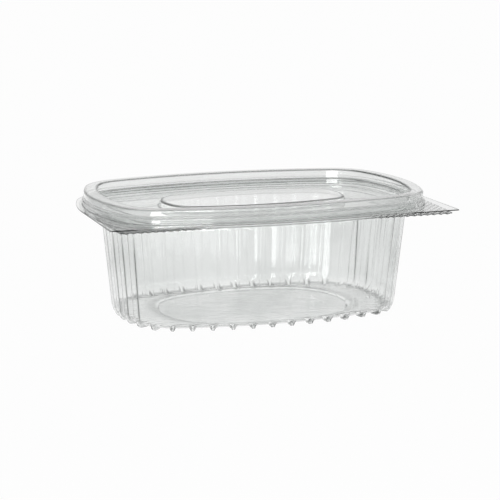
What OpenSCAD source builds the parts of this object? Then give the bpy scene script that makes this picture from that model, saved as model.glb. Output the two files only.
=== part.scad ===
// Clear hinged salad container: a fluted tub and a snap-on lid, formed from one plastic sheet
// and folded along the back. Millimetres, +Z up, origin on the table under the tub's middle,
// with the opening tabs at the front (-Y) and the fold at the back (+Y).

/* [Sheet] */
// Thickness of the clear sheet
sheet_t = 0.4; // [0.3:0.05:0.5]

/* [Rim] */
// Length of the lid's raised rim, outside
rim_length = 150; // [140:1:170]
// Width of the lid's raised rim, outside
rim_width = 101; // [96:1:120]
// Corner radius of the rim, outside
rim_corner = 22; // [19:1:26]
// Half of the angle that each bowed long side turns through
bow_long = 14.5; // [10:0.5:18]
// Half of the angle that each bowed end turns through
bow_end = 19; // [14:0.5:22]
// Height of the rim's crest above the table
crest_height = 55.2; // [45:0.1:75]
// Height of the crest above the lid's flange
skirt_height = 6.6; // [5.8:0.1:8]
// Width of the rim's crest along its sides, across its top
crest_width = 4.4; // [4.2:0.1:5]
// Width of the rim's crest at its two ends
crest_end_width = 6.4; // [4.4:0.1:7.5]
// Rounding of the crest's two edges
crest_round = 0.7; // [0.4:0.1:1]
// How far the skirt flares out at its foot
skirt_flare = 0.7; // [0.3:0.1:1.2]
// Height of the snap groove above the lid's flange
groove_height = 2.9; // [2.2:0.1:3.4]
// Depth of the snap groove
groove_depth = 0.5; // [0.2:0.1:0.6]
// Half of the snap groove's height
groove_half = 0.6; // [0.3:0.1:0.8]

/* [Lid recess] */
// Depth of the lid's recessed floor below the crest
recess_depth = 7.2; // [6.4:0.1:8]
// Depth of the step in the recess wall below the crest
step_depth = 4.3; // [3:0.1:5]
// Width of the step in the recess wall
step_width = 1.1; // [0.6:0.1:1.6]
// How far each part of the recess wall leans in
recess_lean = 0.6; // [0.3:0.1:1]
// Length of the raised panel in the lid
panel_length = 84; // [60:1:100]
// Width of the raised panel in the lid
panel_width = 41; // [36:1:56]
// Corner radius of the raised panel
panel_corner = 12; // [8:1:14]
// Height of the raised panel above the recessed floor
panel_rise = 2.8; // [1.5:0.1:4]
// How far the raised panel's wall leans out
panel_lean = 1; // [0.4:0.1:2]
// Rounding of the raised panel's edge
panel_round = 0.6; // [0.3:0.1:1]

/* [Tub] */
// Distance from the rim's end to the top of the tub's wall, between flutes
wall_end_inset = 7.6; // [6.5:0.1:11]
// Distance from the rim's side to the top of the tub's wall, between flutes
wall_side_inset = 5.7; // [5.2:0.1:8]
// How far the end walls lean in, from the top down to the rounded foot
wall_end_lean = 3.6; // [1:0.1:6]
// How far the side walls lean in, from the top down to the rounded foot
wall_side_lean = 3.6; // [1:0.1:6]
// Corner radius of the tub
tub_corner = 22; // [17:1:25]
// Height at which the wall starts to round under
cove_height = 6; // [4:0.5:9]
// How far the wall rounds in under the tub
cove_width = 3.4; // [2.6:0.1:4.4]
// Distance from the end walls' foot to the floor panel
floor_end_margin = 20.8; // [12:0.1:28]
// Distance from the side walls' foot to the floor panel
floor_side_margin = 9.2; // [8.8:0.1:14]
// Corner radius of the floor panel
floor_corner = 24; // [16:1:25]
// Height of the sunk floor panel above the feet
floor_lift = 0.2; // [0.1:0.1:0.5]
// Width of the slope around the floor panel
floor_slope = 1.4; // [0.6:0.1:2]

/* [Flutes and feet] */
// Number of flutes around the tub
flute_count = 40; // [28:4:44]
// Depth of a flute
flute_depth = 0.6; // [0.3:0.1:1.2]
// Width of a flute's outer face
flute_face = 2.4; // [1.8:0.1:3]
// Width of a flute at its root
flute_root = 4.8; // [3.6:0.1:5.4]
// Height over which a flute fades out under the rim
flute_fade = 1.6; // [0.8:0.1:3]
// Height of the ring under the tub above the feet
foot_height = 1.2; // [0.6:0.1:2]
// How far a foot rounds in from its flute's face
foot_round = 2.4; // [1.6:0.1:3]
// Distance from the rounded foot to the inner end of the foot's flat
foot_flat = 2.2; // [1:0.1:2.6]
// Length of the slope at a foot's inner end
foot_slope = 1.2; // [0.6:0.1:1.4]

/* [Closing bead] */
// Gap between the lid's skirt and the tub's bead
bead_gap = 1.35; // [1.1:0.05:1.4]
// Width of the tub's bead
bead_width = 2; // [1.6:0.1:2.1]
// Height of the bead above the tub's flange
bead_height = 3.2; // [2.4:0.1:3.6]
// Gap between the lid's floor and the tub's ledge
seat_gap = 0.35; // [0.3:0.05:0.5]

/* [Flanges] */
// Gap between the lid's flange and the tub's flange
flange_gap = 0.45; // [0.3:0.05:0.8]
// Width of the lid's flange along the front
lid_front_flange = 3; // [1.5:0.1:4]
// Width of the tub's flange along the front
tub_front_flange = 3.4; // [1.5:0.1:4]
// Width of the lid's flange at the ends
lid_end_flange = 3.5; // [2:0.1:5]
// Width of the tub's flange at the ends
tub_end_flange = 2.2; // [1.2:0.1:3.4]
// How far the tips of the lid's tabs reach past the rim's end
lid_tab_side = 3.4; // [2:0.1:6]
// How far the tips of the lid's tabs stop short of the rim's front
lid_tab_inset = 1; // [0:0.1:3]
// How far the tips of the tub's tabs stop short of the rim's end
tub_tab_inset = 0.5; // [0.2:0.1:5]
// How far the tips of the tub's tabs reach past the rim's front
tub_tab_front = 0.1; // [0:0.1:3]
// Distance from the rim's middle to where the grip ridges start
grip_start = 38; // [30:1:44]
// Distance from the rim's end to the outermost grip ridge
grip_inset = 5.5; // [5.2:0.1:9]
// Spacing of the grip ridges
ridge_pitch = 3; // [2:0.25:5]
// Depth of the grip ridges
ridge_depth = 0.5; // [0.2:0.1:0.8]

/* [Hinge] */
// Width of the hinge strip behind the rim
hinge_width = 3.6; // [3.4:0.1:6]
// Half of the hinge strip's length
hinge_half = 35; // [24:1:40]
// Width of the thin fold between the lid's strip and the tub's strip
fold_width = 0.4; // [0.3:0.1:0.8]

/* [Hidden] */

// Steps of the rim's outline between the marked places
front_steps = 6;
tip_steps = 7;
end_steps = 3;
corner_steps = 10;
back_steps = 8;

// Angles at which the rounded foot of the tub is drawn
cove_angles = [90, 60, 30, 0];

// Ovals, each [half-length, half-width, corner radius]
rim_oval = [rim_length / 2, rim_width / 2, rim_corner];
recess_oval = [rim_oval[0] + crest_width - crest_end_width, rim_oval[1], rim_oval[2]];
tub_top_oval = [rim_oval[0] - wall_end_inset, rim_oval[1] - wall_side_inset, tub_corner];
tub_base_oval = [tub_top_oval[0] - wall_end_lean, tub_top_oval[1] - wall_side_lean, tub_corner];
floor_oval = [tub_base_oval[0] - floor_end_margin, tub_base_oval[1] - floor_side_margin, floor_corner];
panel_oval = [panel_length / 2, panel_width / 2, panel_corner];

// Heights of the upper faces, from the crest down
lid_flange_z = crest_height - skirt_height;
lid_floor_z = crest_height - recess_depth;
lid_step_z = crest_height - step_depth;
groove_z = lid_flange_z + groove_height;
tub_flange_z = lid_flange_z - sheet_t - flange_gap;
ledge_z = lid_floor_z - sheet_t - seat_gap;
bead_z = tub_flange_z + bead_height;
wall_top_z = ledge_z - sheet_t;

// Places across the rim, measured in from its outside
bead_outer = sheet_t + bead_gap;
bead_inner = bead_outer + bead_width;
step_outer = crest_width + recess_lean;
step_inner = step_outer + step_width;
recess_foot = step_inner + recess_lean;

// The fold line, and the tips of the four tabs
hinge_y = rim_width / 2 + hinge_width;
strip_y = hinge_y - fold_width / 2;
lid_tip = [rim_length / 2 + lid_tab_side, -(rim_width / 2 - lid_tab_inset)];
tub_tip = [rim_length / 2 - tub_tab_inset, -(rim_width / 2 + tub_tab_front)];

// An oval grown outwards by d all round
function grown(oval, d) = [oval[0] + d, oval[1] + d, oval[2] + d];

// How much larger than the corner radius the side and end radii of an oval are
bow_span = sin(bow_long) * sin(bow_end) - (1 - cos(bow_long)) * (1 - cos(bow_end));
function side_extra(oval) =
    let (a = oval[0] - oval[2])
    let (b = oval[1] - oval[2])
    (a * sin(bow_end) - b * (1 - cos(bow_end))) / bow_span;
function end_extra(oval) =
    let (a = oval[0] - oval[2])
    let (b = oval[1] - oval[2])
    (b * sin(bow_long) - a * (1 - cos(bow_long))) / bow_span;

// Point of an oval whose outward normal has the angle phi, counted from +X
function oval_point(oval, phi) =
    let (q = atan2(abs(sin(phi)), abs(cos(phi))))
    let (side = side_extra(oval))
    let (end = end_extra(oval))
    let (r = oval[2] + (q < bow_end ? end : q > 90 - bow_long ? side : 0))
    let (x = q < bow_end ? oval[0] - r : q > 90 - bow_long ? 0 : side * sin(bow_long))
    let (y = q < bow_end ? 0 : q > 90 - bow_long ? oval[1] - r : end * sin(bow_end))
    [sign(cos(phi)) * (x + r * cos(q)), sign(sin(phi)) * (y + r * sin(q))];

// Flutes are spaced evenly along the outline at the wall's mid height
wall_oval = (tub_top_oval + tub_base_oval) / 2;
end_radius = tub_corner + end_extra(wall_oval);
side_radius = tub_corner + side_extra(wall_oval);
end_arc = end_radius * bow_end * PI / 180;
corner_arc = tub_corner * (90 - bow_long - bow_end) * PI / 180;
side_arc = side_radius * bow_long * PI / 180;
quarter_arc = end_arc + corner_arc + side_arc;
flute_pitch = 4 * quarter_arc / flute_count;

function quarter_phi(s) =
    s < end_arc ? s / end_radius * 180 / PI
    : s < end_arc + corner_arc ? bow_end + (s - end_arc) / tub_corner * 180 / PI
    : 90 - (quarter_arc - s) / side_radius * 180 / PI;
function wall_phi(s) =
    let (k = floor(s / quarter_arc))
    let (rest = s - k * quarter_arc)
    k % 2 == 0 ? 90 * k + quarter_phi(rest) : 90 * (k + 1) - quarter_phi(quarter_arc - rest);

// Normal angles of the tub's points: root, face, face and root of each flute in turn
flute_places = [-flute_root / 2, -flute_face / 2, flute_face / 2, flute_root / 2];
wall_phis = [for (i = [0:flute_count - 1]) for (e = flute_places) wall_phi((i + 0.5) * flute_pitch + e)];

// Angle from the front at which the rim's outline is x from the middle
function front_angle(x) =
    let (side = side_extra(rim_oval))
    let (bowed = (side + rim_corner) * sin(bow_long))
    x < bowed ? asin(x / (side + rim_corner)) : asin((x - side * sin(bow_long)) / rim_corner);

// Angles of the rim's points: the front half from its middle, and the back half from the end
grip_end = rim_oval[0] - grip_inset;
ridge_steps = 2 * floor((grip_end - grip_start) / ridge_pitch);
ridge_step = (grip_end - grip_start) / ridge_steps;
tip_angle = front_angle(grip_end);
front_angles = [
    for (i = [0:front_steps - 1]) front_angle(grip_start * i / front_steps),
    for (i = [0:ridge_steps]) front_angle(grip_start + ridge_step * i),
    for (i = [1:tip_steps]) tip_angle + (90 - tip_angle) * i / tip_steps
];
back_angles = [
    for (i = [0:end_steps - 1]) bow_end * i / end_steps,
    for (i = [0:corner_steps - 1]) bow_end + (90 - bow_long - bow_end) * i / corner_steps,
    for (i = [0:back_steps]) 90 - bow_long + bow_long * i / back_steps
];
front_last = len(front_angles) - 1;
back_last = len(back_angles) - 1;

rim_phis = [
    for (i = [0:back_last - 1]) back_angles[i],
    for (i = [back_last:-1:1]) 180 - back_angles[i],
    for (i = [front_last:-1:1]) 270 - front_angles[i],
    for (i = [0:front_last - 1]) 270 + front_angles[i]
];

// A whole outline from its right half, front and back, mirrored in X
function mirrored(front, back) = [
    for (i = [0:back_last - 1]) back[i],
    for (i = [back_last:-1:1]) [-back[i][0], back[i][1]],
    for (i = [front_last:-1:1]) [-front[i][0], front[i][1]],
    for (i = [0:front_last - 1]) front[i]
];

// Edge of a flange: along the front, out to the tab's tip, along the end, and back to the strip
function between(p, q, share) = p + (q - p) * share;
function flange_edge(front_w, tip, end_w) =
    let (front_oval = grown(rim_oval, front_w))
    let (back_oval = grown(rim_oval, end_w))
    let (start = oval_point(front_oval, 270 + front_angle(grip_start)))
    let (end = [rim_length / 2 + end_w, 0])
    let (front = [
        for (i = [0:front_steps - 1]) oval_point(front_oval, 270 + front_angles[i]),
        for (i = [0:ridge_steps]) between(start, tip, i / ridge_steps),
        for (i = [1:tip_steps]) between(tip, end, i / tip_steps)
    ])
    let (back = [
        for (angle = back_angles)
            let (p = oval_point(back_oval, angle))
            p[0] <= hinge_half ? [p[0], strip_y] : p
    ])
    mirrored(front, back);

lid_edge = flange_edge(lid_front_flange, lid_tip, lid_end_flange);
tub_edge = flange_edge(tub_front_flange, tub_tip, tub_end_flange);

// Drop of the tub's flange at each point: every second point of a grip is a valley
function is_valley(i) = i > front_steps && i < front_steps + ridge_steps && (i - front_steps) % 2 == 1;
ridge_drops = [
    for (i = [1:2 * back_last]) 0,
    for (i = [front_last:-1:1]) is_valley(i) ? ridge_depth : 0,
    for (i = [0:front_last - 1]) is_valley(i) ? ridge_depth : 0
];

// Shift that moves point i of a section line by t to the line's left
function left_of(v) = [-v[1], v[0]] / norm(v);
function shift(line, i, t) =
    let (last = len(line) - 1)
    let (before = left_of(line[max(i, 1)] - line[max(i, 1) - 1]))
    let (after = left_of(line[min(i, last - 1) + 1] - line[min(i, last - 1)]))
    let (middle = (before + after) / norm(before + after))
    middle * t / (middle * before);

// Rings, each [points, normal angles]
function rim_ring(oval, z) = [
    [for (phi = rim_phis) let (p = oval_point(oval, phi)) [p[0], p[1], z]],
    rim_phis
];
function edge_ring(edge, z) = [[for (p = edge) [p[0], p[1], z]], rim_phis];
function ridged_ring(edge, z) = [
    [for (i = [0:len(edge) - 1]) [edge[i][0], edge[i][1], z - ridge_drops[i]]],
    rim_phis
];
function wall_ring(plain_oval, plain_z, flute_oval, flute_z) = [
    [
        for (i = [0:len(wall_phis) - 1])
            let (on_face = i % 4 == 1 || i % 4 == 2)
            let (p = oval_point(on_face ? flute_oval : plain_oval, wall_phis[i]))
            [p[0], p[1], on_face ? flute_z : plain_z]
    ],
    wall_phis
];

// Triangles between two rings whose first points have the numbers m and n: each step goes on
// to the next point of the ring that lags behind, so the rings may have different numbers of points
function angle_at(ring, i) = i < len(ring[1]) ? ring[1][i] : ring[1][i - len(ring[1])] + 360;
function low_lags(low, high, i, j) =
    j == len(high[1]) || (i < len(low[1]) && angle_at(low, i + 1) <= angle_at(high, j + 1));
function strip(low, high, m, n) =
    let (a = len(low[1]))
    let (b = len(high[1]))
    [
        for (
            i = 0, j = 0, lags = low_lags(low, high, 0, 0);
            i < a || j < b;
            i = lags ? i + 1 : i,
            j = lags ? j : j + 1,
            lags = low_lags(low, high, i, j)
        )
            [m + i % a, n + j % b, lags ? m + (i + 1) % a : n + (j + 1) % b]
    ];

// A closed sheet through rings in order, with a middle point before the first and after the last
module sheet(rings, first, last) {
    count = len(rings);
    sizes = [for (ring = rings) len(ring[0])];
    starts = [for (k = 0, s = 0; k < count; s = s + sizes[k], k = k + 1) s];
    points = [for (ring = rings) each ring[0]];
    first_id = len(points);
    end_start = starts[count - 1];
    end_size = sizes[count - 1];
    faces = [
        for (j = [0:sizes[0] - 1]) [first_id, j, (j + 1) % sizes[0]],
        for (k = [0:count - 2]) each strip(rings[k], rings[k + 1], starts[k], starts[k + 1]),
        for (j = [0:end_size - 1]) [end_start + j, first_id + 1, end_start + (j + 1) % end_size]
    ];
    polyhedron(points = concat(points, [first, last]), faces = faces, convexity = 12);
}

// Sections of the tub's outer face, each [oval between flutes, its height, oval on a flute, its height]
ring_z = foot_height;
function cove_section(angle) =
    let (inset = cove_width * (1 - cos(angle)))
    let (z = ring_z + (cove_height - ring_z) * (1 - sin(angle)))
    let (flute_inset = foot_round * (1 - cos(angle)))
    [
        grown(tub_base_oval, -inset), z,
        grown(tub_base_oval, flute_depth - flute_inset), cove_height * (1 - sin(angle))
    ];
foot_in_oval = grown(tub_base_oval, -cove_width - foot_flat);
foot_end_oval = grown(foot_in_oval, -foot_slope);
floor_foot_oval = grown(floor_oval, floor_slope);
fade_share = flute_fade / (wall_top_z - cove_height);
shoulder_oval = between(tub_top_oval, tub_base_oval, fade_share);
wall_sections = [
    [floor_oval, floor_lift, floor_oval, floor_lift],
    [floor_foot_oval, ring_z, floor_foot_oval, ring_z],
    [foot_end_oval, ring_z, foot_end_oval, ring_z],
    [foot_in_oval, ring_z, foot_in_oval, 0],
    for (angle = cove_angles) cove_section(angle),
    [shoulder_oval, wall_top_z - flute_fade, grown(shoulder_oval, flute_depth), wall_top_z - flute_fade],
    [tub_top_oval, wall_top_z, tub_top_oval, wall_top_z]
];

// Sections of the underside of the tub's ledge, hollow bead and flange, each [oval, height]
rim_sections = [
    [grown(rim_oval, -bead_inner + sheet_t), wall_top_z],
    [grown(rim_oval, -bead_inner + sheet_t), bead_z - sheet_t],
    [grown(rim_oval, -bead_outer - sheet_t), bead_z - sheet_t],
    [grown(rim_oval, -bead_outer - sheet_t), tub_flange_z - sheet_t]
];
grip_oval = grown(rim_oval, skirt_flare);

// Sections of the lid's upper face, from the raised panel out to the skirt's foot
lid_sections = [
    [grown(panel_oval, -panel_round), lid_floor_z + panel_rise],
    [panel_oval, lid_floor_z + panel_rise - panel_round],
    [grown(panel_oval, panel_lean), lid_floor_z],
    [grown(recess_oval, -recess_foot), lid_floor_z],
    [grown(recess_oval, -step_inner), lid_step_z],
    [grown(recess_oval, -step_outer), lid_step_z],
    [grown(recess_oval, -crest_width), crest_height - crest_round],
    [grown(recess_oval, -crest_width + crest_round), crest_height],
    [grown(rim_oval, -crest_round), crest_height],
    [rim_oval, crest_height - crest_round],
    [rim_oval, groove_z + groove_half],
    [grown(rim_oval, -groove_depth), groove_z],
    [grown(rim_oval, skirt_flare / 2), groove_z - groove_half],
    [grown(rim_oval, skirt_flare), lid_flange_z]
];

// Section lines through the long axis, from which the sheet's other face is worked out
function plain_line() = [
    [0, wall_sections[0][1]],
    for (s = wall_sections) [s[0][0], s[1]],
    for (s = rim_sections) [s[0][0], s[1]],
    [rim_length / 2 + tub_end_flange, tub_flange_z - sheet_t]
];
function flute_line() = [
    [0, wall_sections[0][1]],
    for (s = wall_sections) [s[2][0], s[3]],
    [rim_sections[0][0][0], rim_sections[0][1]]
];
function lid_line() = [
    [0, lid_sections[0][1]],
    for (s = lid_sections) [s[0][0], s[1]],
    [lid_tip[0], lid_flange_z]
];

module tub() {
    plain = plain_line();
    flute = flute_line();
    wall_last = len(wall_sections) - 1;
    rim_last = len(rim_sections) - 1;
    grip_edge = [for (phi = rim_phis) oval_point(grip_oval, phi)];
    outside = [
        for (s = wall_sections) wall_ring(s[0], s[1], s[2], s[3]),
        for (s = rim_sections) rim_ring(s[0], s[1]),
        ridged_ring(grip_edge, tub_flange_z - sheet_t),
        ridged_ring(tub_edge, tub_flange_z - sheet_t)
    ];
    inside = [
        ridged_ring(tub_edge, tub_flange_z),
        ridged_ring(grip_edge, tub_flange_z),
        for (i = [rim_last:-1:0])
            let (s = rim_sections[i])
            let (d = shift(plain, i + wall_last + 2, sheet_t))
            rim_ring(grown(s[0], d[0]), s[1] + d[1]),
        for (i = [wall_last:-1:0])
            let (s = wall_sections[i])
            let (d = shift(plain, i + 1, sheet_t))
            let (e = shift(flute, i + 1, sheet_t))
            wall_ring(grown(s[0], d[0]), s[1] + d[1], grown(s[2], e[0]), s[3] + e[1])
    ];
    floor_z = wall_sections[0][1];
    color("gainsboro", 0.5) sheet(concat(outside, inside), [0, 0, floor_z], [0, 0, floor_z + sheet_t]);
}

module lid() {
    line = lid_line();
    last = len(lid_sections) - 1;
    underside = [
        for (i = [0:last])
            let (s = lid_sections[i])
            let (d = shift(line, i + 1, -sheet_t))
            rim_ring(grown(s[0], d[0]), s[1] + d[1]),
        edge_ring(lid_edge, lid_flange_z - sheet_t)
    ];
    upper = [
        edge_ring(lid_edge, lid_flange_z),
        for (i = [last:-1:0]) rim_ring(lid_sections[i][0], lid_sections[i][1])
    ];
    panel_z = lid_sections[0][1];
    color("gainsboro", 0.5) sheet(concat(underside, upper), [0, 0, panel_z - sheet_t], [0, 0, panel_z]);
}

tub();
lid();
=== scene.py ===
"""Looks of the clear hinged salad container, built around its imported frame.

The tub and the lid are one thin clear sheet each. They follow the same ovals and section lines as
the solids, drawn finer, with rounded creases and a true sheet thickness. A thin fold joins them at
the back.
"""

import logging
import math
from dataclasses import dataclass
from enum import Enum
from typing import Any, Sequence

import bpy
import numpy as np
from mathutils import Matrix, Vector


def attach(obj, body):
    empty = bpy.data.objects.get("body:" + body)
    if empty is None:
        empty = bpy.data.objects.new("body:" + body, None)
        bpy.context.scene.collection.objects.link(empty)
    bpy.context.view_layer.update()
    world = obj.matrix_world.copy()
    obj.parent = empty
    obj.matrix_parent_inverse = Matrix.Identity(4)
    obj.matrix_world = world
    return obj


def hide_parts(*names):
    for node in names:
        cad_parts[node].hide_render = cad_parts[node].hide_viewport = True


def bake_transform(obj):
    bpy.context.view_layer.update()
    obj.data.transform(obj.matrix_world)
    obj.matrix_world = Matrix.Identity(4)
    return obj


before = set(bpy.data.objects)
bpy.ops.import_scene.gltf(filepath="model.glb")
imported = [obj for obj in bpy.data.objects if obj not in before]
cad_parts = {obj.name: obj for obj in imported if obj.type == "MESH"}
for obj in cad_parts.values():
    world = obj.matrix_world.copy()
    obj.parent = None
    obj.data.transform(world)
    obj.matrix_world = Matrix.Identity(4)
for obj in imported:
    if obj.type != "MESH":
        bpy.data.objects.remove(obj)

log = logging.getLogger("salad_container")

Array = np.ndarray
Pair = tuple[float, float]
Triple = tuple[float, float, float]
Socket = bpy.types.NodeSocket
Piece = bpy.types.Object

MM = 0.001
CREASE_ANGLE = math.radians(40)
MERGE_DISTANCE = 1e-7
ANGLE_TABLE = 4001

# Half of the angle that a bowed long side and a bowed end turn through, in degrees
BOW_SIDE = 14.5
BOW_END = 19.0

# Marks that the meshes carry and the finish reads: the painted shade of bends, cut edges, flute
# edges and feet, and where the grips lie
PAINTED_SHADE = "bend"
GRIP = "grip"

# Rings of the flat middles and of the flanges, as shares of the way out
MIDDLE_SHARES = (0, 0.35, 0.7)
FLANGE_ROWS = (0.35, 0.7, 0.9, 1.0)
RIDGED_ROWS = (*np.linspace(0.075, 0.9, 12), 0.95, 1.0)

# Columns to each side of a flute's middle, and rows up its cove and its arch
FLUTE_COLUMNS = (0.6, 1.2, 1.85, 2.15, 2.45, 2.9, 3.7)
COVE_ANGLES = (90, 75, 60, 45, 30, 15)
ARCH_SHARES = np.linspace(0.1, 0.97, 7)
ARCH_TIP_SQUARE = 0.0025

# Where marks fade in, by how far the outline turns and by how far the feet stand below the ring
END_TURN = (0.7, 0.9)
FOOT_TURN = (0.35, 0.75)
FRONT_TURN = (0.5, 0.8)
FOOT_RELIEF = (0.5, 0.9)
RING_RELIEF = (0.94, 0.99)

# Pitch of the grip ridges in millimetres, and the direction across them
RIDGE_PITCH = 2.4
RIDGE_ASLANT = (0.76, 0.65)

# Fineness of the noises in the finish, in waves to a metre
SLOW_WAVES = 70.0
CLOUDS = 38.0
STREAKS = 260.0
RIPPLES = 420.0

# Heights in metres between which parts of the tub's finish fade in
FLOOR_TOP = (0.006, 0.0015)
WALL_TOP = (0.042, 0.024)
WALL_FOOT = (0.004, 0.008)
PANEL_TOP = (0.0014, 0.0008)
RIPPLE_TOP = (0.0035, 0.002)

# Height that lamps point at, height of a flat lamp, and gap under the object, in metres
LAMP_AIM = 0.03
CARD_LIFT = 0.0005
FLOOR_GAP = 0.0002

# Width of the camera's sensor, in millimetres
SENSOR_WIDTH = 36.0


def mix(start: Any, end: Any, share: Any) -> Any:
    """Return the number or array that lies a share of the way from start to end."""
    return start + (end - start) * share


class Side(Enum):
    """Which way a sheet's thickness is laid on from the face that is drawn."""

    INWARD = "inward"
    DOWN = "down"


@dataclass(frozen=True)
class Oval:
    """A bowed oval outline: half-length, half-width and corner radius, in millimetres."""

    half_length: float
    half_width: float
    corner: float

    def grown(self, distance: float) -> "Oval":
        """Return the oval moved outwards all round by a distance."""
        return Oval(self.half_length + distance, self.half_width + distance, self.corner + distance)

    def scaled(self, share: float) -> "Oval":
        """Return the oval shrunk towards its middle."""
        return Oval(self.half_length * share, self.half_width * share, self.corner * share)

    def towards(self, other: "Oval", share: float) -> "Oval":
        """Return the oval a share of the way towards another one."""
        return Oval(
            mix(self.half_length, other.half_length, share),
            mix(self.half_width, other.half_width, share),
            mix(self.corner, other.corner, share),
        )

    def extras(self) -> Pair:
        """Return how much larger than the corner radius the side and end radii are."""
        a, b = self.half_length - self.corner, self.half_width - self.corner
        long_side, end = math.radians(BOW_SIDE), math.radians(BOW_END)
        sag, end_sag = 1 - math.cos(long_side), 1 - math.cos(end)
        span = math.sin(long_side) * math.sin(end) - sag * end_sag
        side = (a * math.sin(end) - b * end_sag) / span
        return side, (b * math.sin(long_side) - a * sag) / span

    def points(self, phi: Array) -> Array:
        """Return the points whose outward normals have the given angles.

        Args:
            phi: Normal angles in degrees, counted from +X.

        Returns:
            One row of x and y for each angle, in millimetres.
        """
        turn = np.radians(phi)
        q = np.arctan2(np.abs(np.sin(turn)), np.abs(np.cos(turn)))
        side, ends = self.extras()
        at_end = q < math.radians(BOW_END)
        at_side = q > math.radians(90 - BOW_SIDE)
        radius = self.corner + np.where(at_end, ends, np.where(at_side, side, 0.0))
        corner_x = side * math.sin(math.radians(BOW_SIDE))
        corner_y = ends * math.sin(math.radians(BOW_END))
        x = np.where(at_end, self.half_length - radius, np.where(at_side, 0.0, corner_x))
        y = np.where(at_end, 0.0, np.where(at_side, self.half_width - radius, corner_y))
        x = np.sign(np.cos(turn)) * (x + radius * np.cos(q))
        y = np.sign(np.sin(turn)) * (y + radius * np.sin(q))
        return np.stack([x, y], axis=1)

    def arcs(self) -> tuple[Array, Array]:
        """Return the normal angles at which the arcs meet, and how far along the outline."""
        side, ends = self.extras()
        turns = [BOW_END, 90 - BOW_SIDE - BOW_END, BOW_SIDE]
        radii = [self.corner + ends, self.corner, self.corner + side]
        turns, radii = 2 * (turns + turns[::-1]), 2 * (radii + radii[::-1])
        lengths = np.array(radii) * np.radians(turns)
        return np.cumsum([0.0, *turns]), np.cumsum([0.0, *lengths])

    def places(self, phi: Array) -> Array:
        """Return the distances along the outline, from +X, of the given normal angles."""
        return np.interp(phi, *self.arcs())

    def angles(self, places: Array) -> Array:
        """Return the normal angles at the given distances along the outline, from +X."""
        return np.interp(places, *self.arcs()[::-1])

    def length(self) -> float:
        """Return the length of the whole outline."""
        return float(self.arcs()[1][-1])


@dataclass(frozen=True)
class Station:
    """A corner of a section line.

    Args:
        oval: The outline there.
        height: Its height above the table, in millimetres.
        crease: How far from the corner its rounding starts.
        steps: Rows in the rounded corner.
        shade: How dark the bend is painted in the sheet's colour, as painted shade, from 0 to 1.
    """

    oval: Oval
    height: float
    crease: float = 0.0
    steps: int = 4
    shade: float = 0.0

    def values(self) -> Array:
        """Return the oval's three sizes, the height and no shade as one row."""
        oval = self.oval
        return np.array([oval.half_length, oval.half_width, oval.corner, self.height, 0.0])


def rounded_rows(stations: Sequence[Station]) -> Array:
    """Round the corners of a section line.

    Args:
        stations: The corners in order, from the middle outwards.

    Returns:
        One row for each ring: half-length, half-width, corner radius, height and shade.
    """
    rows: list[Array] = []
    last = len(stations) - 1
    for i, station in enumerate(stations):
        here = station.values()
        if 0 < i < last and station.crease > 0:
            before, after = stations[i - 1].values() - here, stations[i + 1].values() - here
            start = here + before * min(0.5, station.crease / np.linalg.norm(before[[1, 3]]))
            end = here + after * min(0.5, station.crease / np.linalg.norm(after[[1, 3]]))
            for k in range(station.steps + 1):
                t = k / station.steps
                row = (1 - t) ** 2 * start + 2 * t * (1 - t) * here + t * t * end
                row[4] = station.shade * (4 * t * (1 - t)) ** 2
                rows.append(row)
        else:
            rows.append(here)
    return np.array(rows)


def smooth(x: Array | float, low: float, high: float) -> Array:
    """Return a soft step from 0 at low to 1 at high."""
    t = np.clip((np.asarray(x, float) - low) / (high - low), 0, 1)
    return t * t * (3 - 2 * t)


def end_part(phi: Array, low: float = END_TURN[0], high: float = END_TURN[1]) -> Array:
    """Return 1 at the two ends, fading to 0 along the long sides, by normal angles in degrees."""
    return smooth(np.abs(np.cos(np.radians(phi))), low, high)


def front_part(phi: Array) -> Array:
    """Return 1 along the front, fading to 0 at the ends, by normal angles in degrees."""
    return smooth(-np.sin(np.radians(phi)), *FRONT_TURN)


def rings_of(rows: Array, phi: Array) -> Array:
    """Return the points of each row's ring at the given normal angles, in millimetres."""
    made = []
    for half_length, half_width, corner, height, _ in rows:
        flat = Oval(half_length, half_width, corner).points(phi)
        made.append(np.column_stack([flat, np.full(len(phi), height)]))
    return np.array(made)


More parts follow.
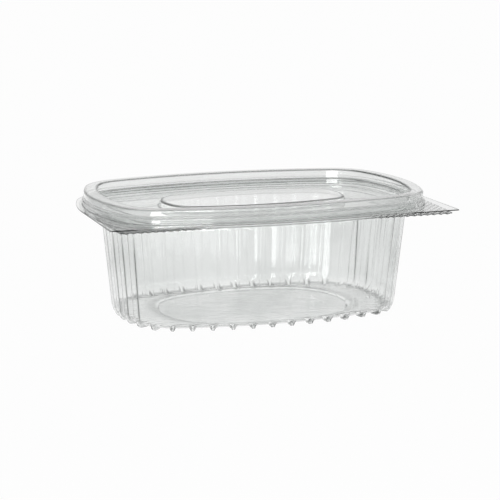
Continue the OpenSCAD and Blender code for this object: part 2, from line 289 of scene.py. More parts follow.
@dataclass(frozen=True)
class Rim:
    """Sizes that the tub and the lid share, in millimetres."""

    sheet: float = 0.4
    oval: Oval = Oval(75.0, 50.5, 22.0)
    crest: float = 55.2
    lid_flange: float = 48.6
    lid_floor: float = 48.0
    lid_step: float = 50.9
    tub_flange: float = 47.75
    ledge: float = 47.25
    bead_top: float = 50.95
    skirt_flare: float = 0.7
    grip_start: float = 38.0
    grip_end: float = 69.5
    ridges: int = 10
    ridge_depth: float = 0.35
    hinge_half: float = 35.0
    hinge_fade: Pair = (2.0, -1.0)
    strip_back: float = 53.33
    fold_back: float = 53.9

    def front_share(self, phi: Array) -> tuple[Array, Array]:
        """Say where along a front corner's tab each angle lies.

        Args:
            phi: Normal angles in degrees, counted from +X.

        Returns:
            The share of the way along the grip, and then along the tab's end, each from 0 to 1.
        """
        x = np.abs(self.oval.points(phi)[:, 0])
        grip = np.interp(x, [self.grip_start, self.grip_end], [0, 1])
        end = np.interp(np.abs(phi - 270), [self.front_angle(self.grip_end) - 270, 90], [0, 1])
        return np.where(phi > 180, grip, 1.0), np.where(phi > 180, end, 1.0)

    def front_angle(self, x: Sequence[float] | float) -> Array:
        """Return the normal angles at which the rim's front right reaches the given x."""
        table = np.linspace(270, 360, ANGLE_TABLE)
        return np.interp(x, self.oval.points(table)[:, 0], table)

    def flange_edge(
        self, phi: Array, front: float, tip: Pair, end: float, rounding: float
    ) -> Array:
        """Draw the cut edge of a flange.

        Args:
            phi: Normal angles in degrees, counted from +X.
            front: Width of the flange along the front.
            tip: Place of the right tab's tip.
            end: Width of the flange at the ends and round the back corners.
            rounding: How far from the tip its rounding starts.

        Returns:
            One row of x and y for each angle, in millimetres.
        """
        grip, side = self.front_share(phi)
        start = self.oval.grown(front).points(self.front_angle([self.grip_start]))[0]
        corner, finish = np.array(tip), np.array([self.oval.half_length + end, 0.0])
        to_tip, to_end = np.linalg.norm(corner - start), np.linalg.norm(finish - corner)
        along = grip * to_tip + side * to_end - to_tip
        enter = corner + (start - corner) * rounding / to_tip
        leave = corner + (finish - corner) * rounding / to_end
        t = np.clip((along + rounding) / (2 * rounding), 0, 1)[:, None]
        bend = (1 - t) ** 2 * enter + 2 * t * (1 - t) * corner + t * t * leave
        first, second = mix(start, corner, grip[:, None]), mix(corner, finish, side[:, None])
        tab = np.where((along > rounding)[:, None], second, bend)
        tab = np.where((along < -rounding)[:, None], first, tab)
        tab[:, 0] *= np.sign(np.cos(np.radians(phi)))
        plain = self.oval.grown(front).points(phi)
        back = self.oval.grown(end).points(phi)
        low, high = self.hinge_fade
        strip = smooth(np.abs(back[:, 0]), self.hinge_half + low, self.hinge_half + high)
        back[:, 1] += strip * (self.strip_back - back[:, 1])
        edge = np.where((grip > 0)[:, None], tab, plain)
        return np.where((phi <= 180)[:, None], back, edge)

    def grip_angles(self, samples: int) -> Array:
        """Return normal angles evenly spaced along both grips, a number of samples to a ridge."""
        places = np.linspace(self.grip_start, self.grip_end, self.ridges * samples + 1)
        right = self.front_angle(places)
        return np.concatenate([right, 540 - right])

    def spaced(self, phi: Array, gap: float) -> Array:
        """Sort normal angles and drop those that lie closer than a gap along the rim."""
        phi = np.sort(phi % 360)
        return phi[np.concatenate([[True], np.diff(self.oval.places(phi)) > gap])]


RIM = Rim()


def shaped_grid(name: str, points: Array) -> Piece:
    """Shape a grid primitive into rows and columns of points, given in millimetres."""
    rows, columns = points.shape[:2]
    bpy.ops.mesh.primitive_grid_add(x_subdivisions=columns - 1, y_subdivisions=rows - 1)
    piece = bpy.context.active_object
    piece.name = piece.data.name = name
    piece.data.vertices.foreach_set("co", (points * MM).astype(np.float32).ravel())
    return piece


@dataclass
class FormedSheet:
    """A thin sheet formed over a mould, drawn as rings from its middle outwards.

    Args:
        name: Name of the piece.
        body: Body that the piece moves with.
        slot: Material slot of the record; not used.
        side: Which way the thickness is laid on.
        thickness: Thickness of the sheet, in millimetres.
        edge_shade: How dark the cut edge of the flange is painted, as painted shade, from 0 to 1.
        edge_front_fade: Share of that shade that is lost along the front.
    """

    name: str
    body: str
    slot: str
    side: Side
    thickness: float = RIM.sheet
    edge_shade: float = 1.0
    edge_front_fade: float = 0.5

    def cut_edge(self, phi: Array, rows: int) -> Array:
        """Return the painted shade of a flange by rows and columns: none but at its cut edge."""
        shade = np.zeros((rows, len(phi)))
        shade[-1] = self.edge_shade * (1 - self.edge_front_fade * front_part(phi))
        return shade

    def form(self, rings: Array, marks: dict[str, Array]) -> Piece:
        """Shape a grid into the sheet and give it its thickness.

        Args:
            rings: Points of each ring in millimetres, rings by columns by three.
            marks: Values that the finish reads at each point, by name, each rings by columns.

        Returns:
            The finished piece.
        """
        piece = shaped_grid(self.name, np.concatenate([rings, rings[:, :1]], axis=1))
        for name, values in marks.items():
            mark = piece.data.attributes.new(name, "FLOAT", "POINT")
            values = np.concatenate([values, values[:, :1]], axis=1)
            mark.data.foreach_set("value", values.astype(np.float32).ravel())
        bpy.ops.object.mode_set(mode="EDIT")
        bpy.ops.mesh.select_all(action="SELECT")
        bpy.ops.mesh.remove_doubles(threshold=MERGE_DISTANCE)
        if self.side is Side.DOWN:
            bpy.ops.mesh.flip_normals()
        bpy.ops.object.mode_set(mode="OBJECT")
        self.thicken(piece)
        return piece

    def thicken(self, piece: Piece) -> None:
        """Lay the sheet's thickness on behind the drawn face and smooth the shading."""
        wall = piece.modifiers.new("sheet", "SOLIDIFY")
        wall.thickness = self.thickness * MM
        wall.offset = -1
        wall.use_even_offset = True
        wall.use_quality_normals = True
        bpy.ops.object.modifier_apply(modifier=wall.name)
        bpy.ops.object.shade_smooth_by_angle(angle=CREASE_ANGLE)
        flats = piece.modifiers.new("flats", "WEIGHTED_NORMAL")
        flats.mode = "FACE_AREA"
        flats.weight = 80
        flats.keep_sharp = True
        bpy.ops.object.modifier_apply(modifier=flats.name)

    def dress(self, piece: Piece, material: bpy.types.Material) -> None:
        """Put the finish on, and let the piece stand for its solid."""
        piece.data.materials.clear()
        piece.data.materials.append(material)
        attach(piece, self.body)
        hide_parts(self.body)
        piece.data.calc_loop_triangles()
        log.info("%s: %d triangles", piece.name, len(piece.data.loop_triangles))


@dataclass
class Tub(FormedSheet):
    """The fluted tub with its feet, floor panel, bead and ridged grip tabs, in millimetres."""

    top: Oval = Oval(67.4, 44.8, 22.0)
    base: Oval = Oval(63.8, 41.2, 22.0)
    floor: Oval = Oval(43.0, 32.0, 24.0)
    floor_lift: float = 0.2
    floor_slope: float = 1.4
    flutes: int = 40
    flute_depth: float = 0.6
    flute_low_depth: float = 0.3
    land: float = 3.8
    land_edge: float = 0.5
    valley_share: float = 0.6
    foot_face: float = 1.2
    foot_root: float = 3.2
    arch: float = 2.6
    arch_fade: float = 0.4
    ledge_round: float = 0.7
    ring: float = 1.2
    cove_height: float = 6.0
    cove_width: float = 3.4
    foot_round: float = 2.4
    foot_flat: float = 2.2
    foot_slope: float = 1.2
    bead_outer: float = 1.75
    bead_inner: float = 3.75
    flange_front: float = 3.4
    flange_end: float = 2.2
    tip: Pair = (74.5, -50.6)
    tip_round: float = 0.6
    grip_fade: Pair = (-10.0, 8.0)
    grip_reach: Pair = (6.0, 16.0)
    ridge_run: float = 0.2
    wall_rows: int = 4
    grip_samples: int = 7
    column_gap: float = 0.06
    # Painted shade lines: half-width of a flute-edge line, and how dark the lines on flute edges,
    # feet and ring are painted
    line_half: float = 0.45
    flute_shade: float = 1.0
    flute_side_shade: float = 0.05
    foot_shade: float = 0.9
    foot_end_shade: float = 0.2
    ring_shade: float = 0.5

    def wall_top(self) -> float:
        """Return the height of the ledge's underside."""
        return RIM.ledge - self.thickness

    def middle_oval(self) -> Oval:
        """Return the outline at the wall's mid height, along which the flutes are spaced."""
        return self.base.towards(self.top, 0.5)

    def pitch(self) -> float:
        """Return the distance from flute to flute along the middle outline."""
        return self.middle_oval().length() / self.flutes

    def off_flute(self, phi: Array) -> Array:
        """Return how far each normal angle lies from the middle of its flute, to either side."""
        return (self.middle_oval().places(phi) % self.pitch()) - self.pitch() / 2

    def columns(self) -> Array:
        """Return the normal angles of the tub's columns: closer at flute edges and grip ridges."""
        offsets = np.array(FLUTE_COLUMNS)
        offsets = np.concatenate([-offsets[::-1], offsets])
        places = ((np.arange(self.flutes) + 0.5) * self.pitch())[:, None] + offsets
        flutes = self.middle_oval().angles(places.ravel())
        phi = np.concatenate([flutes, RIM.grip_angles(self.grip_samples)])
        return RIM.spaced(phi, self.column_gap)

    def section(self, on_flute: bool) -> list[Station]:
        """Draw the outer face's section, from the floor's middle to the top of the wall.

        Args:
            on_flute: Whether the section runs down a flute and over its foot, or between flutes.

        Returns:
            The corners of the section, as many for both kinds.
        """
        out = self.flute_low_depth if on_flute else 0.0
        low = 0.0 if on_flute else self.ring
        round_in = self.foot_round if on_flute else self.cove_width
        foot_in = self.base.grown(-self.cove_width - self.foot_flat)
        panel = self.floor_lift
        cove = [
            Station(
                self.base.grown(out - round_in * (1 - math.cos(a))),
                low + (self.cove_height - low) * (1 - math.sin(a)),
            )
            for a in np.radians(COVE_ANGLES)
        ]
        top = self.wall_top()
        plain = np.linspace(self.cove_height, top - self.arch, self.wall_rows)
        arched = top - self.arch + (self.arch - self.ledge_round) * ARCH_SHARES
        wall = [
            Station(self.wall_at(z).grown(self.depth_at(z) if on_flute else 0.0), z)
            for z in (*plain, *arched)
        ]
        # The shades of these stations paint dark lines along the floor panel's edge and the inner
        # edge of the feet
        return [
            *(Station(self.floor.scaled(share), panel) for share in MIDDLE_SHARES),
            Station(self.floor, panel, crease=0.4, shade=0.8),
            Station(self.floor.grown(self.floor_slope), self.ring, crease=0.4, shade=0.3),
            Station(foot_in.grown(-self.foot_slope), self.ring, crease=0.5, steps=2),
            Station(foot_in, low, crease=0.5, steps=2, shade=0.6 if on_flute else 0.2),
            *cove,
            *wall,
        ]

    def wall_share(self, height: float) -> float:
        """Return how far up the wall a height lies: 0 at the cove, 1 at the ledge."""
        return (height - self.cove_height) / (self.wall_top() - self.cove_height)

    def depth_at(self, height: float) -> float:
        """Return how far a flute stands out at a height: a little less towards its foot."""
        return mix(self.flute_low_depth, self.flute_depth, self.wall_share(height))

    def wall_at(self, height: float) -> Oval:
        """Return the outline of the leaning wall, between flutes, at a height."""
        return self.base.towards(self.top, self.wall_share(height))

    def rim_section(self) -> list[Station]:
        """Draw the underside of the ledge, hollow bead and flange as far as the bead's foot."""
        sheet = self.thickness
        inner = RIM.oval.grown(-self.bead_inner + sheet)
        outer = RIM.oval.grown(-self.bead_outer - sheet)
        start = self.wall_top() - 2 * self.ledge_round
        return [
            Station(self.wall_at(start), start),
            Station(self.top, self.wall_top(), crease=self.ledge_round),
            Station(inner, self.wall_top(), crease=0.7, steps=3),
            Station(inner, RIM.bead_top - sheet, crease=0.5, steps=3),
            Station(outer, RIM.bead_top - sheet, crease=0.5, steps=3),
            Station(outer, RIM.tub_flange - sheet, crease=0.7, steps=3),
            Station(RIM.oval.grown(RIM.skirt_flare), RIM.tub_flange - sheet),
        ]

    def flute_mask(self, phi: Array, heights: Array) -> Array:
        """Say how far each point stands out on a flute, from 0 to 1, with an arch at its top.

        Args:
            phi: Normal angles of the columns.
            heights: Heights of the rows.

        Returns:
            The share for each row and column.
        """
        off = np.abs(self.off_flute(phi))
        start = self.wall_top() - self.arch
        rise = np.clip((heights - start) / (self.arch - self.ledge_round), 0, 1)
        width = np.sqrt(np.clip(1 - rise**2, ARCH_TIP_SQUARE, 1))[:, None]
        end = self.wall_top() - self.ledge_round
        fade = 1 - smooth(heights, start + self.arch_fade, end)[:, None]
        edge = [0, self.land / 2, self.land / 2 + self.land_edge, self.pitch() / 2]
        on_wall = np.interp(off[None, :] / width, edge, [1, 1, self.valley_share, 0])
        on_foot = 1 - smooth(off, self.foot_face / 2, self.foot_root / 2)[None, :]
        low = 1 - smooth(heights, self.ring, self.cove_height)[:, None]
        return fade * mix(on_wall, on_foot, low)

    def edge_lines(self, phi: Array, plain: Array, flute: Array) -> Array:
        """Paint shade lines on the flutes' outer edges, the sides of the feet and the ring.

        The painted shade lines on the flutes' outer edges are strong at the ends, and hardly show
        along the sides.

        Args:
            phi: Normal angles of the columns.
            plain: Rows of the section between flutes.
            flute: Rows of the section down a flute.

        Returns:
            The painted shade for each row and column.
        """
        off = self.off_flute(phi)
        outward = np.where(phi % 180 < 90, off, -off)
        from_edge = np.abs(outward - self.land / 2 - self.land_edge / 2)
        line = np.clip(1 - from_edge / self.line_half, 0, 1)
        strength = mix(self.flute_side_shade, self.flute_shade, end_part(phi))
        heights = plain[:, 3]
        below_arch = heights < self.wall_top() - self.arch
        on_wall = smooth(heights, self.ring, self.cove_height) * below_arch
        foot = 1 - smooth(np.abs(off), self.foot_face / 2, self.foot_root / 2)
        relief = (heights - flute[:, 3]) / self.ring
        on_foot, on_ring = smooth(relief, *FOOT_RELIEF), smooth(relief, *RING_RELIEF)
        foot_shade = mix(self.foot_shade, self.foot_end_shade, end_part(phi, *FOOT_TURN))
        sides = foot_shade * 4 * foot * (1 - foot)
        ring = self.ring_shade * (1 - foot)
        lines = on_wall[:, None] * (line * strength)[None, :] + on_foot[:, None] * sides[None, :]
        return np.maximum(lines, on_ring[:, None] * ring[None, :])

    def build(self) -> Piece:
        """Shape the tub."""
        phi = self.columns()
        plain, flute = rounded_rows(self.section(False)), rounded_rows(self.section(True))
        share = self.flute_mask(phi, plain[:, 3])
        out = share[:, :, None]
        wall = rings_of(plain, phi) * (1 - out) + rings_of(flute, phi) * out
        # Painted shade of the bends and of the lines on flute edges, feet and ring, mixed into the
        # sheet's colour
        wall_shade = plain[:, 4:] * (1 - share) + flute[:, 4:] * share
        wall_shade = np.maximum(wall_shade, self.edge_lines(phi, plain, flute))
        rim_rows = rounded_rows(self.rim_section())[1:]
        rim = rings_of(rim_rows, phi)
        rim_shade = rim_rows[:, 4:] + np.zeros((1, len(phi)))
        flange, grip = self.flange(phi, rim[-1])
        bare = np.zeros((len(wall) + len(rim), len(phi)))
        marks = {
            PAINTED_SHADE: np.concatenate([wall_shade, rim_shade, self.cut_edge(phi, len(flange))]),
            GRIP: np.concatenate([bare, grip]),
        }
        return self.form(np.concatenate([wall, rim, flange]), marks)

    def flange(self, phi: Array, foot: Array) -> tuple[Array, Array]:
        """Draw the underside of the flange, with ridges that cross its two grip tabs aslant.

        Args:
            phi: Normal angles of the columns.
            foot: Points of the ring that the flange starts from.

        Returns:
            The points of its rings, and how far each point lies on a grip, from 0 to 1.
        """
        edge = RIM.flange_edge(phi, self.flange_front, self.tip, self.flange_end, self.tip_round)
        outer = np.column_stack([edge, np.full(len(phi), RIM.tub_flange - self.thickness)])
        flange = np.array([mix(foot, outer, share) for share in RIDGED_ROWS])
        low, high = self.grip_fade
        grip = smooth(np.abs(flange[:, :, 0]), RIM.grip_start + low, RIM.grip_start + high)
        grip = grip * smooth(-flange[:, :, 1], *self.grip_reach)
        along = np.abs(flange[:, :, :2]) @ np.array(RIDGE_ASLANT)
        wave = 0.5 - 0.5 * np.cos(2 * np.pi * along / RIDGE_PITCH)
        run = smooth(np.array(RIDGED_ROWS), 0, self.ridge_run)[:, None]
        flange[:, :, 2] -= RIM.ridge_depth * grip * wave * run
        return flange, grip


@dataclass
class Lid(FormedSheet):
    """The lid with its raised rim, snap groove, stepped recess and raised panel, in millimetres."""

    panel: Oval = Oval(42.0, 20.5, 12.0)
    panel_rise: float = 2.8
    panel_lean: float = 1.0
    panel_inset: float = 0.1
    crest_width: float = 4.4
    crest_end_width: float = 6.4
    recess_lean: float = 0.6
    step_width: float = 1.1
    groove: float = 51.5
    groove_half: float = 0.6
    groove_depth: float = 0.5
    skirt_draft: float = 0.02
    flange_lead: float = 1.2
    flange_front: float = 3.0
    flange_end: float = 3.5
    tip: Pair = (78.4, -49.5)
    tip_round: float = 0.8
    even_columns: int = 360
    grip_samples: int = 3
    column_gap: float = 0.12
    skirt_margin: float = 0.1
    # Painted shade: a slight darkening of the whole skirt, and how much darker the bend lines are
    # painted towards the ends
    skirt_shade: float = 0.08
    end_shade: float = 0.4
    edge_front_fade: float = 0.8

    def columns(self) -> Array:
        """Return the normal angles of the lid's columns, closer together at the grips."""
        even = np.linspace(0, RIM.oval.length(), self.even_columns + 1)[:-1]
        phi = np.concatenate([RIM.oval.angles(even), RIM.grip_angles(self.grip_samples)])
        return RIM.spaced(phi, self.column_gap)

    def section(self) -> list[Station]:
        """Draw the upper face's section, from the panel's middle to the foot of the skirt."""
        rim = RIM.oval
        recess_half = rim.half_length + self.crest_width - self.crest_end_width
        recess = Oval(recess_half, rim.half_width, rim.corner)
        foot = rim.grown(RIM.skirt_flare - self.skirt_draft)
        groove_low = self.groove - self.groove_half
        panel_top = RIM.lid_floor + self.panel_rise
        step_out = self.crest_width + self.recess_lean
        step_in = step_out + self.step_width
        floor = recess.grown(-step_in - self.recess_lean)
        # The shades of these stations paint dark lines along the bends of the panel, recess, crest,
        # groove and skirt foot
        return [
            *(Station(self.panel.scaled(share), panel_top) for share in MIDDLE_SHARES),
            Station(self.panel.grown(-self.panel_inset), panel_top, crease=0.8, shade=0.75),
            Station(self.panel.grown(self.panel_lean), RIM.lid_floor, crease=0.7, shade=0.5),
            Station(floor, RIM.lid_floor, crease=0.8, shade=0.1),
            Station(recess.grown(-step_in), RIM.lid_step, crease=0.55, shade=0.05),
            Station(recess.grown(-step_out), RIM.lid_step, crease=0.4, shade=0.6),
            Station(recess.grown(-self.crest_width), RIM.crest, crease=1.0, steps=7, shade=0.75),
            Station(rim, RIM.crest, crease=1.3, steps=7, shade=0.25),
            Station(rim, self.groove + self.groove_half, crease=0.3, steps=3, shade=0.05),
            Station(rim.grown(-self.groove_depth), self.groove, crease=0.3, steps=3, shade=0.15),
            Station(foot, groove_low, crease=0.3, steps=3, shade=0.05),
            Station(rim.grown(RIM.skirt_flare), RIM.lid_flange, crease=0.6, shade=0.5),
            Station(rim.grown(RIM.skirt_flare + self.flange_lead), RIM.lid_flange),
        ]

    def build(self) -> Piece:
        """Shape the lid."""
        phi = self.columns()
        rows = rounded_rows(self.section())[:-1]
        upper = rings_of(rows, phi)
        edge = RIM.flange_edge(phi, self.flange_front, self.tip, self.flange_end, self.tip_round)
        outer = np.column_stack([edge, np.full(len(phi), RIM.lid_flange)])
        flange = np.array([mix(upper[-1], outer, share) for share in FLANGE_ROWS])
        # Painted shade: the skirt is painted a little darker all round, and the bend lines darker
        # still towards the ends
        skirt = rows[:, :1] > RIM.oval.half_length - self.groove_depth - self.skirt_margin
        shade = np.maximum(rows[:, 4:], self.skirt_shade * skirt)
        shade = np.minimum(shade * (1 + self.end_shade * end_part(phi)), 1.0)
        shade = np.concatenate([shade, self.cut_edge(phi, len(flange))])
        return self.form(np.concatenate([upper, flange]), {PAINTED_SHADE: shade})


@dataclass
class Fold:
    """The thin fold between the two flanges, a narrow strip bent over from the tub to the lid."""

    name: str = "fold"
    web: float = 0.24
    end_gap: float = 1.2
    steps: int = 12
    columns: int = 24

    def heights(self) -> Pair:
        """Return the heights of the middles of the two flanges, which the fold joins."""
        return RIM.tub_flange - RIM.sheet / 2, RIM.lid_flange - RIM.sheet / 2

    def build(self) -> Piece:
        """Shape the fold as a strip bent through half a turn."""
        low, high = self.heights()
        middle, radius = (low + high) / 2, (high - low) / 2
        half = RIM.hinge_half - self.end_gap
        start = RIM.fold_back - radius - self.web / 2
        turn = np.linspace(-math.pi / 2, math.pi / 2, self.steps + 1)
        across = np.linspace(-half, half, self.columns + 1)
        turn, x = np.meshgrid(turn, across, indexing="ij")
        y, z = start + radius * np.cos(turn), middle + radius * np.sin(turn)
        piece = shaped_grid(self.name, np.stack([x, y, z], axis=2))
        wall = piece.modifiers.new("web", "SOLIDIFY")
        wall.thickness = self.web * MM
        wall.offset = 0
        bpy.ops.object.modifier_apply(modifier=wall.name)
        bpy.ops.object.shade_smooth_by_angle(angle=CREASE_ANGLE)
        return piece

    def dress(self, piece: Piece, material: bpy.types.Material) -> None:
        """Put the finish on, and bake the fold's place into its mesh."""
        piece.data.materials.append(material)
        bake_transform(piece)
        log.info("%s: %d vertices", piece.name, len(piece.data.vertices))


class Value:
    """A shader socket that takes part in ordinary arithmetic."""

    def __init__(self, board: "Board", socket: Socket) -> None:
        """Wrap a socket of a board."""
        self.board = board
        self.socket = socket

    def maths(self, operation: str, first: Any, second: Any) -> "Value":
        """Add a Math node and return its result."""
        node = self.board.node("ShaderNodeMath", {"operation": operation}, {0: first, 1: second})
        return self.board.value(node)

    def __add__(self, other: Any) -> "Value":
        """Return the sum."""
        return self.maths("ADD", self, other)

    __radd__ = __add__

    def __sub__(self, other: Any) -> "Value":
        """Return the difference."""
        return self.maths("SUBTRACT", self, other)

    def __rsub__(self, other: Any) -> "Value":
        """Return the difference."""
        return self.maths("SUBTRACT", other, self)

    def __mul__(self, other: Any) -> "Value":
        """Return the product."""
        return self.maths("MULTIPLY", self, other)

    __rmul__ = __mul__

    def most(self, other: Any) -> "Value":
        """Return the larger of the two."""
        return self.maths("MAXIMUM", self, other)

    def step(self, low: float, high: float, start: float = 0.0, end: float = 1.0) -> "Value":
        """Return a soft step from start at low to end at high."""
        node = self.board.node(
            "ShaderNodeMapRange",
            {"interpolation_type": "SMOOTHSTEP"},
            {"Value": self, "From Min": low, "From Max": high, "To Min": start, "To Max": end},
        )
        return self.board.value(node)


class Board:
    """A node tree that nodes are added to by type, settings and sockets."""

    def __init__(self, tree: bpy.types.NodeTree) -> None:
        """Take a node tree and empty it."""
        self.tree = tree
        tree.nodes.clear()

    def node(
        self,
        kind: str,
        settings: dict[str, Any] | None = None,
        sockets: dict[str | int, Any] | None = None,
    ) -> bpy.types.Node:
        """Add a node.

        Args:
            kind: Type of the node.
            settings: Settings of the node, set first. The key stops holds a colour ramp's stops.
            sockets: Values or links of its input sockets, by name or number.

        Returns:
            The new node.
        """
        made = self.tree.nodes.new(kind)
        for key, value in (settings or {}).items():
            if key == "stops":
                self.set_stops(made.color_ramp, value)
            else:
                setattr(made, key, value)
        for key, value in (sockets or {}).items():
            socket = self.socket(made.inputs, key)
            if isinstance(value, Value):
                self.tree.links.new(value.socket, socket)
            elif isinstance(value, Socket):
                self.tree.links.new(value, socket)
            else:
                socket.default_value = value
        return made

    def socket(self, sockets: bpy.types.bpy_prop_collection, key: str | int) -> Socket:
        """Return a socket by number or name: the one in use, where several share the name."""
        if isinstance(key, int):
            return sockets[key]
        return next(found for found in sockets if found.name == key and found.enabled)

    def set_stops(self, ramp: bpy.types.ColorRamp, stops: Sequence[tuple[float, Triple]]) -> None:
        """Give a colour ramp its stops, in order."""
        while len(ramp.elements) < len(stops):
            ramp.elements.new(1.0)
        for element, (place, colour) in zip(ramp.elements, stops):
            element.position = place
            element.color = (*colour, 1.0)

    def value(self, node: bpy.types.Node, output: str | int = 0) -> Value:
        """Return an output of a node as a value."""
        return Value(self, node.outputs[output])

    def noise(
        self, place: Socket, scale: float, detail: float, stretch: Triple | None = None
    ) -> Value:
        """Return a noise from 0 to 1, read at a place that may be stretched along each axis."""
        if stretch is not None:
            mapping = self.node("ShaderNodeMapping", None, {"Vector": place, "Scale": stretch})
            place = mapping.outputs[0]
        sockets = {"Vector": place, "Scale": scale, "Detail": detail}
        return self.value(self.node("ShaderNodeTexNoise", None, sockets))

    def measure(self, operation: str, place: Socket, along: Sequence[float] = (0, 0, 0)) -> Value:
        """Return a length or a dot product of a vector."""
        sockets = {0: place, 1: tuple(along)}
        node = self.node("ShaderNodeVectorMath", {"operation": operation}, sockets)
        return self.value(node, "Value")

    def height(self, place: Socket) -> Value:
        """Return the upward part of a place or a direction."""
        return self.value(self.node("ShaderNodeSeparateXYZ", None, {"Vector": place}), "Z")

    def mark(self, name: str) -> Value:
        """Return a mark that the mesh carries."""
        return self.value(self.node("ShaderNodeAttribute", {"attribute_name": name}), "Fac")

    def rays(self, *kinds: str) -> Value:
        """Return the largest of some values of the light path, such as Is Camera Ray."""
        path = self.node("ShaderNodeLightPath")
        found = self.value(path, kinds[0])
        for kind in kinds[1:]:
            found = found.most(self.value(path, kind))
        return found


@dataclass(frozen=True)
class ClearSheet:
    """Clear formed plastic: faintly grey, glossy, with the slight unevenness of a drawn sheet.

    Args:
        name: Name of the material.
        tint_clear: Colour of light that has passed through the thin, well drawn floor.
        tint: Colour of light that has passed through the sheet.
        tint_deep: Colour where the sheet is a little thicker.
        tint_thick: Colour of the thick streaks.
        painted_shade_tint: Colour of the painted shade at sharp bends, cut edges and grip ridges,
            standing in for the light that a sharp bend throws aside.
        gloss: Roughness of the clearest places.
        haze: Roughness of the faintly hazy places.
        waviness: Strength of the drawn sheet's slow waves.
        ripple: Strength of the fine ripple on the floor. At 0 the sheet has no floor and no grips.
        grip_shade: How dark the painted shade on the fine ridges of the grip tabs is.
        grip_haze: Roughness of those ridges, which are textured.
        index: Refractive index.
    """

    name: str
    tint_clear: Triple = (0.985, 0.99, 0.987)
    tint: Triple = (0.895, 0.905, 0.9)
    tint_deep: Triple = (0.865, 0.875, 0.87)
    tint_thick: Triple = (0.74, 0.755, 0.748)
    painted_shade_tint: Triple = (0.1, 0.11, 0.105)
    gloss: float = 0.015
    haze: float = 0.05
    waviness: float = 0.006
    ripple: float = 0.0
    grip_shade: float = 0.3
    grip_haze: float = 0.6
    index: float = 1.5

    def make(self) -> bpy.types.Material:
        """Return the finish as a material."""
        material = bpy.data.materials.new(self.name)
        material.use_nodes = True
        board = Board(material.node_tree)
        place = board.node("ShaderNodeTexCoord").outputs["Object"]
        cloud = board.noise(place, CLOUDS, 4.0)
        wave = board.noise(place, SLOW_WAVES, 2.0, (1.0, 1.0, 0.25)) * self.waviness
        roughness = cloud.step(0.35, 0.75, self.gloss, self.haze)
        # bend holds the painted shade of bends, cut edges, flute edges and feet, read from the mesh
        depth, bend = cloud, board.mark(PAINTED_SHADE)
        if self.ripple > 0:
            depth = cloud + self.floor_streaks(board, place)
            wave = wave + self.floor_ripple(board, place)
            # The grip ridges' flanks get painted shade in the colour and more roughness
            ridge = self.grip_lines(board, place)
            bend = bend.most(ridge * self.grip_shade)
            roughness = roughness.most(ridge * self.grip_haze)
        stops = [
            (0.0, self.tint_thick),
            (0.3, self.tint_deep),
            (0.7, self.tint),
            (1.0, self.tint_clear),
        ]
        colour = board.node("ShaderNodeValToRGB", {"stops": stops}, {"Fac": depth})
        # Painted shade: the colour is mixed towards painted_shade_tint where the bend marks and the
        # grip flanks are set
        tinted = board.node(
            "ShaderNodeMix",
            {"data_type": "RGBA"},
            {"Factor": bend, "A": colour.outputs[0], "B": (*self.painted_shade_tint, 1.0)},
        )
        bump = board.node(
            "ShaderNodeBump", None, {"Strength": 0.5, "Distance": 0.0006, "Height": wave}
        )
        shader = board.node(
            "ShaderNodeBsdfPrincipled",
            None,
            {
                "Base Color": board.socket(tinted.outputs, "Result"),
                "Roughness": roughness,
                "Normal": bump.outputs[0],
                "IOR": self.index,
                "Transmission Weight": 1.0,
            },
        )
        board.node("ShaderNodeOutputMaterial", None, {"Surface": shader.outputs[0]})
        return material

    def floor_streaks(self, board: Board, place: Socket) -> Value:
        """Return how much clearer the floor is than the wall, with streaks along its panel."""
        streak = board.noise(place, STREAKS, 3.0, (0.35, 1.0, 1.0)).step(0.4, 0.75)
        height = board.height(place)
        thin = height.step(*FLOOR_TOP) * 0.5
        wall = height.step(*WALL_TOP) * height.step(*WALL_FOOT) * 0.25
        return thin - wall - streak * height.step(*PANEL_TOP) * 0.5

    def grip_lines(self, board: Board, place: Socket) -> Value:
        """Return one flank of each fine ridge that crosses the grip tabs aslant, where the finish
        paints shade and adds roughness.
        """
        both = board.node("ShaderNodeVectorMath", {"operation": "ABSOLUTE"}, {0: place}).outputs[0]
        along = board.measure("DOT_PRODUCT", both, (*RIDGE_ASLANT, 0.0))
        wave = along * (2 * math.pi / (RIDGE_PITCH * MM))
        return wave.maths("SINE", wave, 0.0).step(0.2, 0.9) * board.mark(GRIP)

    def floor_ripple(self, board: Board, place: Socket) -> Value:
        """Return a fine ripple that lies only on the floor panel."""
        fine = board.noise(place, RIPPLES, 3.0, (0.6, 1.6, 1.0))
        return fine * board.height(place).step(*RIPPLE_TOP) * self.ripple


def direction(azimuth: float, elevation: float) -> Vector:
    """Return the unit vector from the object towards an azimuth and elevation, in degrees."""
    a, e = math.radians(azimuth), math.radians(elevation)
    return Vector((math.sin(a) * math.cos(e), -math.cos(a) * math.cos(e), math.sin(e)))


def face_object(
    thing: Piece, azimuth: float, elevation: float, distance: float, aim: float
) -> None:
    """Put a lamp or camera at a distance from the object, aimed at a height on its axis."""
    back = direction(azimuth, elevation)
    thing.location = Vector((0, 0, aim)) + back * distance
    thing.rotation_euler = (-back).to_track_quat("-Z", "Y").to_euler()


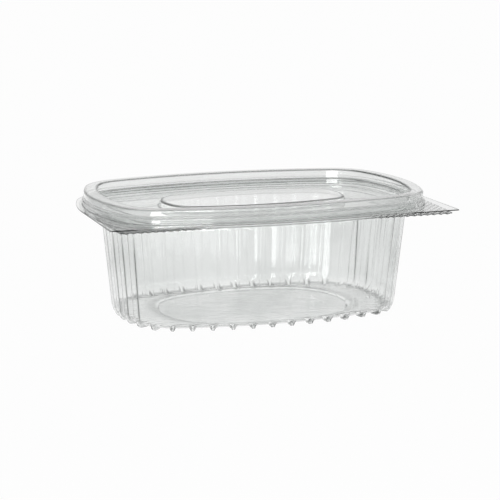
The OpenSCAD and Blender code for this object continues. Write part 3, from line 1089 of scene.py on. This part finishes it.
@dataclass(frozen=True)
class Lamp:
    """A soft studio panel that points at the object.

    Args:
        name: Name of the lamp.
        azimuth: Direction from the object, in degrees: 0 is in front, 90 to the right.
        elevation: Height above the horizon, in degrees.
        distance: Distance from the object, in metres.
        width: Width of the panel.
        height: Height of the panel.
        power: Power in watts.
        flat: Whether it lies on the floor and shines up.
    """

    name: str
    azimuth: float
    elevation: float
    distance: float
    width: float
    height: float
    power: float
    flat: bool = False

    def place(self) -> Piece:
        """Add the lamp, facing the object. It shows in gloss, but not through the clear sheet."""
        light = bpy.data.lights.new(self.name, "AREA")
        light.shape = "RECTANGLE"
        light.size, light.size_y = self.width, self.height
        light.energy = self.power
        light.use_nodes = True
        board = Board(light.node_tree)
        mirrored = board.rays("Glossy Depth", "Diffuse Depth")
        glow = board.node("ShaderNodeEmission", None, {"Strength": mirrored.step(0.0, 1.0)})
        board.node("ShaderNodeOutputLight", None, {"Surface": glow.outputs[0]})
        lamp = bpy.data.objects.new(self.name, light)
        lamp.visible_camera = False
        bpy.context.scene.collection.objects.link(lamp)
        face_object(lamp, self.azimuth, self.elevation, self.distance, LAMP_AIM)
        if self.flat:
            lamp.location.z = CARD_LIFT
            lamp.rotation_euler = (math.pi, 0, math.radians(self.azimuth))
        return lamp


@dataclass
class Studio:
    """Floor, surroundings, lamps and camera."""

    azimuth: float = -19.2
    elevation: float = 11.4
    distance: float = 0.75
    aim: float = 0.025
    lens: float = 119.6
    shift: Pair = (-0.0055, 0.006)
    front_grey: float = 0.06
    ceiling_grey: float = 0.3
    floor_grey: float = 0.25
    floor_white: float = 0.98
    under: Pair = (0.17, 0.1)
    strip_near: float = 0.1
    strip_spread: float = 0.2
    strip_fade: float = 0.2
    lamps: tuple[Lamp, ...] = (
        Lamp("front_panel", -20, 10.4, distance=0.6, width=0.36, height=0.28, power=1.7),
        Lamp("low_strip", 0.5, -0.2, distance=0.6, width=0.12, height=0.054, power=0.045),
        Lamp("side_panel", 36, 0, distance=0.7, width=0.5, height=0.06, power=0.16),
        Lamp("low_card", -31, 0, distance=0.4, width=0.14, height=0.22, power=0.5, flat=True),
        Lamp("top_panel", 160, 70, distance=1.4, width=1.2, height=0.9, power=3.0),
    )

    def build(self) -> None:
        """Set up everything around the object."""
        self.floor()
        self.surroundings()
        for lamp in self.lamps:
            lamp.place()
        self.camera()
        bpy.context.scene.view_settings.view_transform = "Standard"
        paths = bpy.context.scene.cycles
        paths.max_bounces = paths.transmission_bounces = 24
        paths.glossy_bounces = 12

    def floor(self) -> None:
        """Lay a pale floor that stays white to the eye and keeps a soft shadow."""
        bpy.ops.mesh.primitive_plane_add(size=12, location=(0, 0, -FLOOR_GAP))
        floor = bpy.context.active_object
        floor.name = floor.data.name = "floor"
        material = bpy.data.materials.new("pale_floor")
        material.use_nodes = True
        board = Board(material.node_tree)
        straight = board.rays("Is Camera Ray", "Is Transmission Ray")
        shown = straight.most(board.rays("Is Glossy Ray")) * self.floor_white
        level = self.floor_level(board).most(straight)
        matt = board.node("ShaderNodeBsdfDiffuse", None, {"Color": (0.9, 0.9, 0.9, 1)})
        white = board.node("ShaderNodeEmission", None, {"Color": (1, 1, 1, 1), "Strength": level})
        sockets = {0: shown, 1: matt.outputs[0], 2: white.outputs[0]}
        both = board.node("ShaderNodeMixShader", None, sockets)
        board.node("ShaderNodeOutputMaterial", None, {"Surface": both.outputs[0]})
        floor.data.materials.append(material)

    def strip(self, board: Board, ray: Socket, near: float) -> Value:
        """Say where the white strip behind the object lies, a little wider than the picture.

        Args:
            board: The node tree.
            ray: A direction or a place on the floor.
            near: Half of the strip's width where it starts.

        Returns:
            1 in the strip, 0 beside it and in front of the object.
        """
        away, right = -direction(self.azimuth, 0), direction(self.azimuth + 90, 0)
        far = board.measure("DOT_PRODUCT", ray, away)
        side = board.measure("DOT_PRODUCT", ray, right)
        spread = side.maths("ABSOLUTE", side, 0.0) - far * self.strip_spread - near
        return spread.step(self.strip_fade, 0.0) * far.step(0.0, 0.1)

    def floor_level(self, board: Board) -> Value:
        """Return how bright the floor shows in gloss: white under and behind the object."""
        place = board.node("ShaderNodeTexCoord").outputs["Object"]
        under = board.measure("LENGTH", place).step(*self.under)
        white = self.strip(board, place, self.strip_near).most(under)
        return white * (1.0 - self.floor_grey) + self.floor_grey

    def surroundings(self) -> None:
        """Light the world white behind the object and grey in front of it."""
        world = bpy.data.worlds.new("studio")
        bpy.context.scene.world = world
        world.use_nodes = True
        board = Board(world.node_tree)
        ray = board.node("ShaderNodeTexCoord").outputs["Generated"]
        height = board.height(ray)
        strip = self.strip(board, ray, 0.0) * height.step(0.8, 0.5)
        level = strip * (1.0 - self.front_grey) + self.front_grey
        dome = height.step(0.85, 0.6, self.ceiling_grey, 1.0)
        through = board.rays("Is Transmission Ray") * dome
        strength = level.most(through).most(board.rays("Is Camera Ray"))
        background = board.node("ShaderNodeBackground", None, {"Strength": strength})
        board.node("ShaderNodeOutputWorld", None, {"Surface": background.outputs[0]})

    def camera(self) -> None:
        """Set the camera where the photograph was taken from."""
        camera = bpy.data.objects.new("camera", bpy.data.cameras.new("camera"))
        bpy.context.scene.collection.objects.link(camera)
        face_object(camera, self.azimuth, self.elevation, self.distance, self.aim)
        camera.data.lens = self.lens
        camera.data.sensor_width = SENSOR_WIDTH
        camera.data.shift_x, camera.data.shift_y = self.shift
        bpy.context.scene.camera = camera


def main() -> None:
    """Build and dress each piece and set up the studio."""
    logging.basicConfig(level=logging.INFO, format="%(name)s: %(message)s")
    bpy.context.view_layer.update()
    tub = Tub("tub_sheet", "tub", "clear_tub", Side.INWARD)
    lid = Lid("lid_sheet", "lid", "clear_lid", Side.DOWN)
    fold = Fold()
    tub_finish = ClearSheet("clear_tub_sheet", ripple=0.2).make()
    lid_finish = ClearSheet(
        "clear_lid_sheet", tint=(0.985, 0.99, 0.987), tint_deep=(0.965, 0.97, 0.967)
    ).make()
    tub.dress(tub.build(), tub_finish)
    lid.dress(lid.build(), lid_finish)
    fold.dress(fold.build(), lid_finish)
    Studio().build()


if __name__ == "__main__":
    main()
